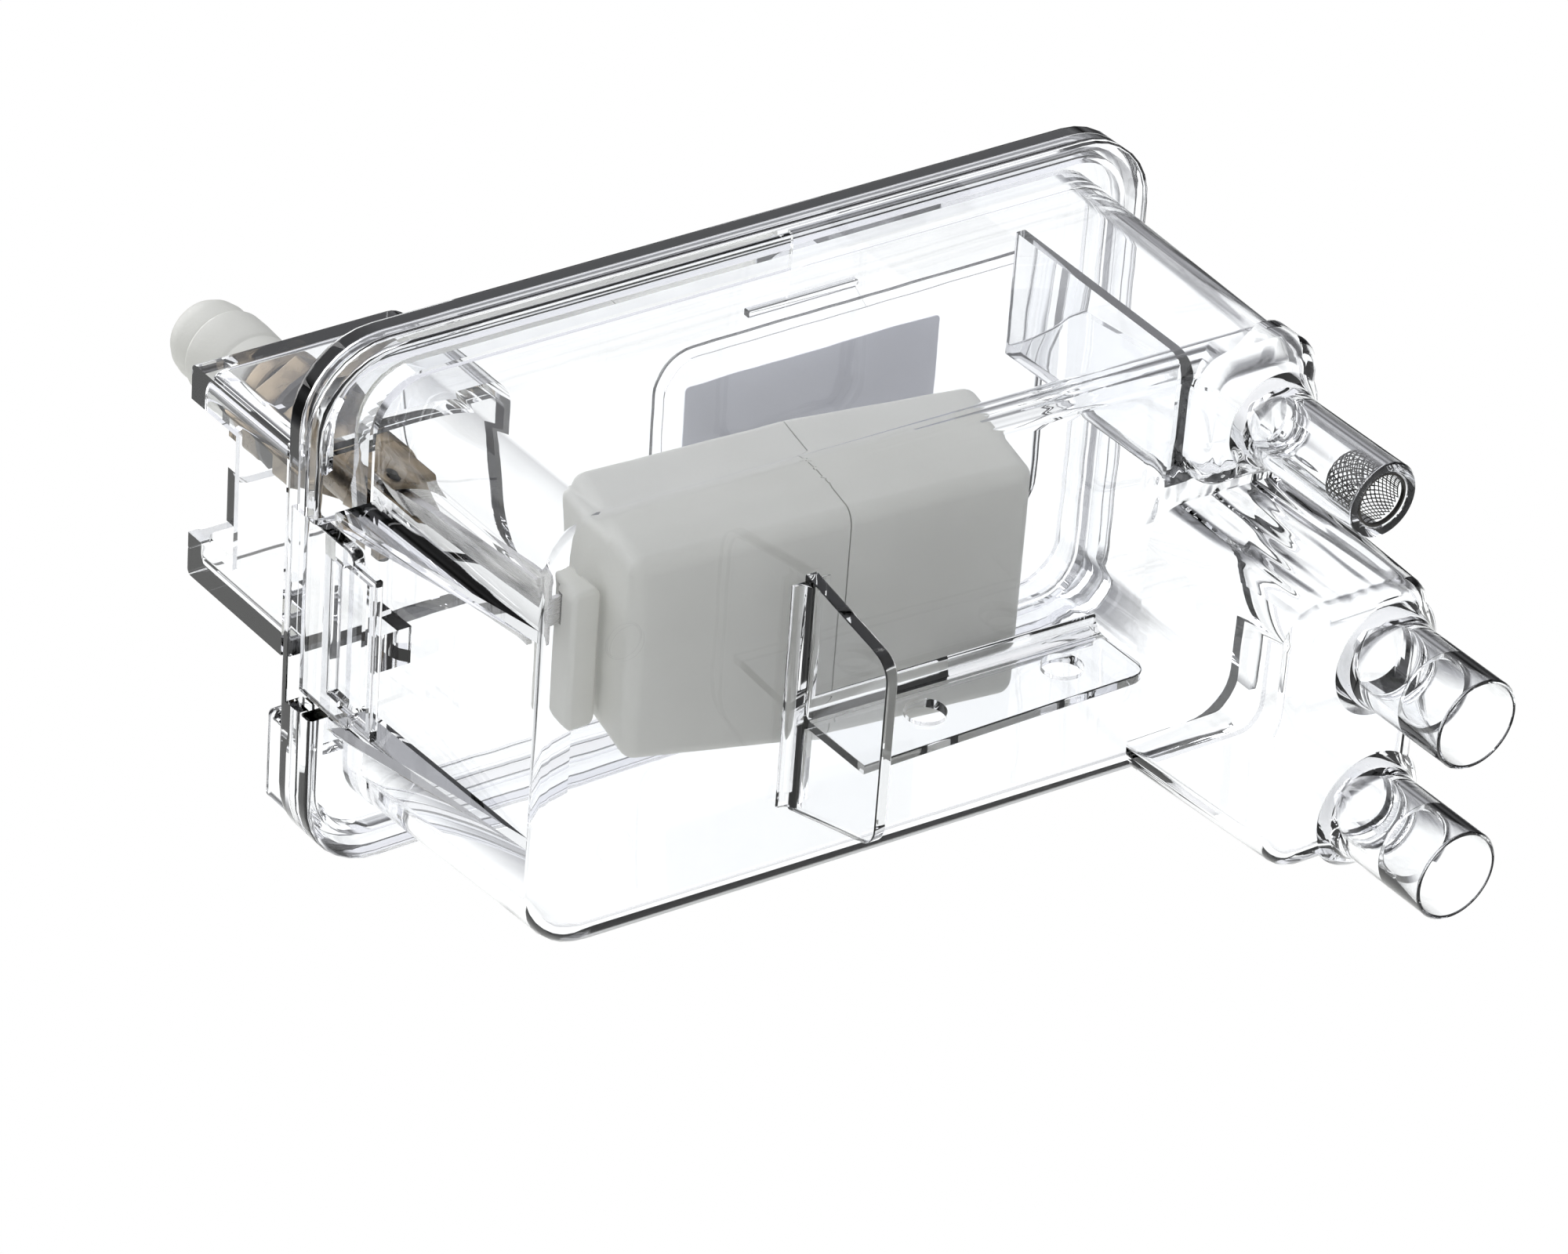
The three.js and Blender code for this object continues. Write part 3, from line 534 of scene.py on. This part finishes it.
# %% [markdown]
# ## Lid, tower and latch
# The lid is a shallow tray turned upside down, with a raised panel for the label and a tall tower that shields the
# valve. The tower is open on its outer side above a sill and slotted on top, so that the valve slides in from the side.

# %% Lid
LID = (73.3, 80.5)
TOWER_X, TOWER_Y, TOWER_Z = (-106.5, -58), (-41.7, 4.5), (80.8, 114.6)
def inset(span, by):
    return span[0] + by, span[1] - by


stiffener = bare(combine("stiffener", rounded_box(inset(RIM_X, 3.8), inset(RIM_Y, 3.8), (74.2, 79), 13.2, 0.5),
                         cut=[rounded_box(inset(RIM_X, 5.2), inset(RIM_Y, 5.2), (70, 82), 11.8)]))
tray_room = rounded_box(inset(RIM_X, 2.2), inset(RIM_Y, 2.2), (60, 78), 14.8, 0, 1.2)
tray = bare(combine("tray", rounded_box(RIM_X, RIM_Y, LID, 17, 0.5, 1.6), cut=[tray_room]))
lid = combine(
    "lid_tray", tray,
    add=[rounded_box((-25, 70), (-36.6, 24), (79.4, 81.7), 9, 0, 0.9),
         rounded_box((-101, -98.3), (25, 45), (79.4, 93.6), 1.2, 0, 0.8),
         rounded_box((-101, -92), (25, 27.6), (79.4, 93.6), 1.2, 0, 0.8),
         rounded_box((-6, 20), (-42.8, -41.2), (76.5, 79), 0.3, 0.4), stiffener],
    cut=[rounded_box((-23.5, 68.5), (-35.1, 22.5), (70, 79.2), 7.5, 0, 0.8),
         rounded_box((-104, -60.5), (-39.2, 2), (70, 90), 3.5),
         rounded_box((-120, -100.9), (-30, 13), (60, 78))])
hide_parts("lid")
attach(lid, "lid_assembly")

# %% Valve tower
slot_shape = [*arc(-79, -20, 6.5, -90, 90, 16), *arc(-92.5, -20, 6.5, 90, 270, 16)]
tower = combine(
    "tower", rounded_box((-116.5, TOWER_X[1]), TOWER_Y, TOWER_Z, 6, 0, 1.2),
    cut=[rounded_box((-130, TOWER_X[0]), (-60, 20), (70, 130)),
         rounded_box((-104, -60.5), (-39.2, 2), (70, 112), 3.5, 0, 1.5),
         rounded_box((-112, -98), (-34, -4.7), (98.6, 118), 0),
         plate(slot_shape, (108, 118), "Z")])
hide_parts("valve_tower")
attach(tower, "lid_assembly")

# %% Snap latch
latch_face = [(-28, 77.4), *arc(-25.5, 62.5, 2.5, 180, 360), (-23, 67.5), (6, 67.5), *arc(8.5, 62.5, 2.5, 180, 360),
              (11, 77.4)]
latch = combine("snap_latch", plate(latch_face, (-104.6, -101.9), "X", 0.4),
                add=[rounded_box((-104.5, -102.8), (-26, 9), (52.6, 63.5), 0.4, 0.4)],
                cut=[rounded_box((-110, -100), (-24.2, 7.2), (54.4, 64))])
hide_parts("lid_latch")
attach(latch, "latch")

# %% [markdown]
# ## Float
# The float is two moulded cups welded at a seam. Each half is one cube whose corners are pulled to the sections at its
# two ends; wide bevels then round the outer edges, and the edges at the seam stay sharp with a small gap between
# halves.

# %% Float halves
STATIONS = {
    "end": dict(x=-69.5, y=(-36, 7), z=(22, 54)),
    "seam": dict(x=-24.5, y=(-37, 13.5), z=(17, 49.8)),
    "tip": dict(x=14.5, y=(-38, 14), z=(12.4, 41)),
}
LEAN = 7


def float_half(name, left, right, seam_side):
    a, b = STATIONS[left], STATIONS[right]

    def build(bm):
        bmesh.ops.create_cube(bm, size=2)
        for v in bm.verts:
            s = a if v.co.x < 0 else b
            gap = 0.15 * (1 if s is a else -1) if s is STATIONS["seam"] else 0
            up = v.co.z > 0
            v.co = Vector((s["x"] + gap + (LEAN if up else 0), s["y"][v.co.y > 0], s["z"][up])) * MM
        bm.normal_update()
        seam = [e for e in bm.edges if all((v.co.x > 0) == (seam_side > 0) for v in e.verts)
                and abs(sum(v.co.x for v in e.verts) / 2 / MM - STATIONS["seam"]["x"]) < 9]
        others = [e for e in bm.edges if e not in seam]
        bmesh.ops.bevel(bm, geom=others, offset=3.2 * MM, offset_type="OFFSET", segments=6, profile=0.5,
                        affect="EDGES", material=-1, clamp_overlap=True)
    return combine(name, solid_from(build), finish=FLOAT, smooth=50)


for node, ends in {"float_inner_half": ("end", "seam"), "float_outer_half": ("seam", "tip")}.items():
    half = float_half(node.replace("half", "cup"), *ends, 0)
    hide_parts(node)
    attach(half, "float")

# %% Clip boss on the float
boss = combine("tab_boss", rounded_box((-75, -68), (-25, 5), (33.5, 42.5), 2, 1.2, 1.2),
               cut=[rounded_box((-76, -70.2), (-23.3, -16.7), (38.1, 39.9))], finish=FLOAT, smooth=45)
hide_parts("float_clip")
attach(boss, "float")

# %% [markdown]
# ## Valve
# The valve is turned brass: a shank with a thread for the lock nut, a hex flange below the tower's top and two ears for
# the hinge pin. The thread is drawn as closed rings of the right pitch, which reads the same at this size.

# %% Valve body
AXIS = (-79, -20)


def hexagon(across, z, soften=0.5):
    r = across / math.sqrt(3)
    corners = [(AXIS[0] + r * math.cos(math.radians(60 * i + 30)), AXIS[1] + r * math.sin(math.radians(60 * i + 30)))
               for i in range(6)]
    return plate(corners, z, "Z", soften)


PITCH_MM = 1.2
thread = []
level = 112.0
while level < 139:
    thread += [(6.1, level), (5.55, level + PITCH_MM / 2)]
    level += PITCH_MM
shank = [(0, 90), (7.0, 90), (7.4, 90.6), (7.4, 106), (6.2, 107), (6.1, 110), *thread, (5.6, 140), (0, 140)]
valve = combine(
    "float_valve", turned(shank, *AXIS),
    add=[hexagon(19, (106, 111.7)),
         rounded_box((-87.2, -76), (-27, -24.9), (76.5, 92), 0.8, 0.8),
         rounded_box((-87.2, -76), (-15.1, -13), (76.5, 92), 0.8, 0.8)],
    cut=[turned([(0, 70), (4.2, 70), (4.2, 105.2), (1.6, 105.2), (1.6, 110), (4.4, 110), (4.4, 150), (0, 150)], *AXIS),
         round_bar(-84, 79.5, 1.6, (-30, -10))], finish=BRASS, smooth=30)
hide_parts("valve_body")
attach(valve, "lid_assembly")

# %% Lock nut and collar
nut = combine("lock_nut", hexagon(19, (116.7, 123), 0.7), cut=[turned([(0, 110), (6.4, 110), (6.4, 130), (0, 130)], *AXIS)],
              finish=BRASS)
collar = combine("collar", turned([(6.4, 124), (8.9, 124), (9.2, 124.4), (9.2, 127.6), (8.6, 128.6), (8.0, 129.5),
                                   (6.4, 129.5)], *AXIS), finish=BRASS)
cap = combine("dust_cap", turned([
    (0, 153), (5.6, 152.6), (5.6, 141), (6.5, 140.6), (6.5, 130.2), (8.1, 130.2), (8.5, 130.8), (8.8, 136), (8.5, 136.6),
    (8.5, 137.2), (8.9, 137.8), (9.2, 143), (9.2, 146.4), (8.9, 147.2), (8.35, 147.6), (8.45, 148.2), (8.5, 151.5),
    (8.1, 153.8), (7.2, 155.6), (5.8, 156.8), (4.0, 157.5), (0, 157.8)], *AXIS, 96), finish=CAP, smooth=60)
for node, made, colour in (("valve_lock_nut", nut, "brass"), ("inlet_collar", collar, "brass"),
                           ("inlet_cap", cap, "cap_plastic")):
    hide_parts(node)
    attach(made, "cap" if node == "inlet_cap" else "lid_assembly")

# %% [markdown]
# ## Arm and strainer
# The arm is stainless strip with a foot under the plunger and a tab that plugs into the float. The strainer is wire
# cloth drawn into a cup: a flat square net is wrapped over the cup's profile and each thread gets a thickness.

# %% Float arm
def leg_strip(bm):
    profile = [(-86.5, 80.5), (-82.5, 79.5), (-77.8, 41.5), (-77.8, 38.4), (-79, 38.4), (-79, 41.4)]
    face = bm.faces.new([bm.verts.new((x * MM, -0.0244, z * MM)) for x, z in profile])
    grown = bmesh.ops.extrude_face_region(bm, geom=[face])
    moved = [v for v in grown["geom"] if isinstance(v, bmesh.types.BMVert)]
    bmesh.ops.translate(bm, verts=moved, vec=(0, 0.0088, 0))
    bmesh.ops.bisect_plane(bm, geom=bm.verts[:] + bm.edges[:] + bm.faces[:], plane_co=(0, 0, 0.074), plane_no=(0, 0, 1))
    for v in bm.verts:
        widen = min(1, max(0, (0.074 - v.co.z) / 0.0356))
        v.co.y += math.copysign(0.0024 * widen, v.co.y + 0.020)


flared_leg = solid_from(leg_strip)
arm = combine(
    "arm", plate([(-86.5, 77), (-74.5, 79.5), (-74.5, 81), (-86.5, 82)], (-24.4, -15.6), "Y", 0.25),
    add=[flared_leg,
         rounded_box((-79, -70.5), (-23, -17), (38.4, 39.6), 0.6, 0.2, 0.2)],
    cut=[round_bar(-84, 79.5, 1.6, (-30, -10), 32)], finish=STRIP)
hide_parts("float_arm")
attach(arm, "float")

# %% Strainer cup
CUP_R, CUP_H, CUP_BASE = 5.45, 11.0, -29.1
CELLS = 26


def drawn_cup(bm):
    reach = CUP_R + CUP_H - 2.3
    bmesh.ops.create_grid(bm, x_segments=CELLS, y_segments=CELLS, size=reach)
    outside = [v for v in bm.verts if v.co.length > reach]
    bmesh.ops.delete(bm, geom=outside, context="VERTS")
    crown = 3.0
    for v in bm.verts:
        s = v.co.length
        flat, bend = CUP_R - crown, crown * math.pi / 2
        if s <= flat:
            r, z = s, CUP_H
        elif s <= flat + bend:
            t = (s - flat) / crown
            r, z = flat + crown * math.sin(t), CUP_H - crown * (1 - math.cos(t))
        else:
            r, z = CUP_R, CUP_H - crown - (s - flat - bend)
        spin = math.atan2(v.co.y, v.co.x)
        v.co = Vector((STUB_X + r * math.cos(spin), -37.3 + r * math.sin(spin), CUP_BASE + max(z, 0.1))) * MM
    bmesh.ops.wireframe(bm, faces=bm.faces[:], thickness=0.30 * MM, offset=0, use_replace=True, use_boundary=True,
                        use_even_offset=True, use_relative_offset=False)


net = solid_from(drawn_cup)
strainer = combine("mesh_strainer", turned([(5.2, -29.1), (5.65, -29.1), (5.65, -28.3), (5.2, -28.3)], STUB_X, -37.3),
                   finish=WIRE)
strainer_bm = bmesh.new()
strainer_bm.from_mesh(strainer.data)
strainer_bm.from_mesh(net)
strainer_bm.to_mesh(strainer.data)
strainer_bm.free()
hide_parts("strainer_cup")
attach(strainer, "strainer")
print("strainer", len(strainer.data.polygons), "faces")

# %% [markdown]
# ## Studio
# Clear plastic is drawn by what is behind it and beside it. A plain white surround shows flat walls as nearly nothing,
# and a dark belt above and in front gives the edges, which bend light sideways, something dark to show. The tank is held
# up by its bracket, so the floor lies below it and lets the low camera look up through its underside.

# %% World
world = bpy.data.worlds.new("white_surround")
bpy.context.scene.world = world
world.use_nodes = True
sky = world.node_tree
sky.nodes.clear()
direction = sky.nodes.new("ShaderNodeTexCoord")
facing = sky.nodes.new("ShaderNodeVectorMath")
facing.operation = "DOT_PRODUCT"
facing.inputs[1].default_value = Vector((0, -0.8, 0.6))
belt = sky.nodes.new("ShaderNodeValToRGB")
BELT = ((0.0, 1.2), (0.51, 1.15), (0.555, 0.35), (0.60, 0.09), (0.67, 0.12), (0.73, 0.4), (0.79, 0.05), (0.85, 0.9),
        (1.0, 0.9))
belt.color_ramp.elements[0].position, belt.color_ramp.elements[1].position = BELT[0][0], BELT[-1][0]
for place, value in BELT[1:-1]:
    belt.color_ramp.elements.new(place)
for stop, (place, value) in zip(belt.color_ramp.elements, BELT):
    stop.color = (value, value * 1.01, value * 1.06 if value < 1 else value, 1)
height = sky.nodes.new("ShaderNodeMapRange")
height.inputs["From Min"].default_value = -1
height.inputs["From Max"].default_value = 1
around = sky.nodes.new("ShaderNodeBackground")
behind = sky.nodes.new("ShaderNodeBackground")
behind.inputs["Color"].default_value = (1, 1, 1, 1)
path = sky.nodes.new("ShaderNodeLightPath")
mix = sky.nodes.new("ShaderNodeMixShader")
out = sky.nodes.new("ShaderNodeOutputWorld")
sky.links.new(direction.outputs["Generated"], facing.inputs[0])
sky.links.new(facing.outputs["Value"], height.inputs["Value"])
sky.links.new(height.outputs["Result"], belt.inputs["Fac"])
sky.links.new(belt.outputs["Color"], around.inputs["Color"])
sky.links.new(path.outputs["Is Camera Ray"], mix.inputs["Fac"])
sky.links.new(around.outputs["Background"], mix.inputs[1])
sky.links.new(behind.outputs["Background"], mix.inputs[2])
sky.links.new(mix.outputs["Shader"], out.inputs["Surface"])

# %% Floor and lights
floor_mesh = bpy.data.meshes.new("studio_floor")
pad = bmesh.new()
bmesh.ops.create_grid(pad, x_segments=1, y_segments=1, size=4.0)
bmesh.ops.translate(pad, verts=pad.verts, vec=(0, 0, CAD_BOX[0].z - 0.02))
pad.to_mesh(floor_mesh)
pad.free()
floor = bpy.data.objects.new("studio_floor", floor_mesh)
bpy.context.scene.collection.objects.link(floor)
floor_mat, floor_tree, floor_shader, floor_coords = new_material("pale_floor")
floor_shader.inputs["Base Color"].default_value = (0.9, 0.9, 0.9, 1)
floor_shader.inputs["Roughness"].default_value = 0.9
side = floor_tree.nodes.new("ShaderNodeNewGeometry")
see_through = floor_tree.nodes.new("ShaderNodeBsdfTransparent")
choose = floor_tree.nodes.new("ShaderNodeMixShader")
floor_tree.links.new(side.outputs["Backfacing"], choose.inputs["Fac"])
floor_tree.links.new(floor_shader.outputs["BSDF"], choose.inputs[1])
floor_tree.links.new(see_through.outputs["BSDF"], choose.inputs[2])
floor_tree.links.new(choose.outputs["Shader"], floor_tree.nodes["Material Output"].inputs["Surface"])
floor_mesh.materials.append(floor_mat)


def area_light(name, place, aim, size, power):
    data = bpy.data.lights.new(name, "AREA")
    data.size, data.energy = size, power
    lamp = bpy.data.objects.new(name, data)
    lamp.location = place
    lamp.rotation_euler = (Vector(aim) - Vector(place)).to_track_quat("-Z", "Y").to_euler()
    bpy.context.scene.collection.objects.link(lamp)
    return lamp


area_light("front_soft", (-1.1, -1.2, -0.7), (0, 0, 0), 1.0, 19)
area_light("top_soft", (-0.3, -0.3, 1.4), (0, 0, 0), 1.2, 12)

# %% Camera
camera_data = bpy.data.cameras.new("main_camera")
camera_data.lens, camera_data.sensor_width = 164.6, 36.0
camera_data.clip_start, camera_data.clip_end = 0.01, 50
camera = bpy.data.objects.new("main_camera", camera_data)
RIGHT = Vector((0.81546, -0.06449, -0.57521))
DOWN = Vector((-0.25984, 0.84722, -0.46336))
AHEAD = Vector((0.51721, 0.52731, 0.67412))
turn = Matrix((RIGHT, -DOWN, -AHEAD)).transposed().to_4x4()
camera.matrix_world = Matrix.Translation(Vector((-723.05, -714.5, -876.55)) * MM) @ turn
bpy.context.scene.collection.objects.link(camera)
bpy.context.scene.camera = camera
bpy.context.scene.view_settings.view_transform = "Standard"
print("camera", [round(v, 3) for v in camera.location])
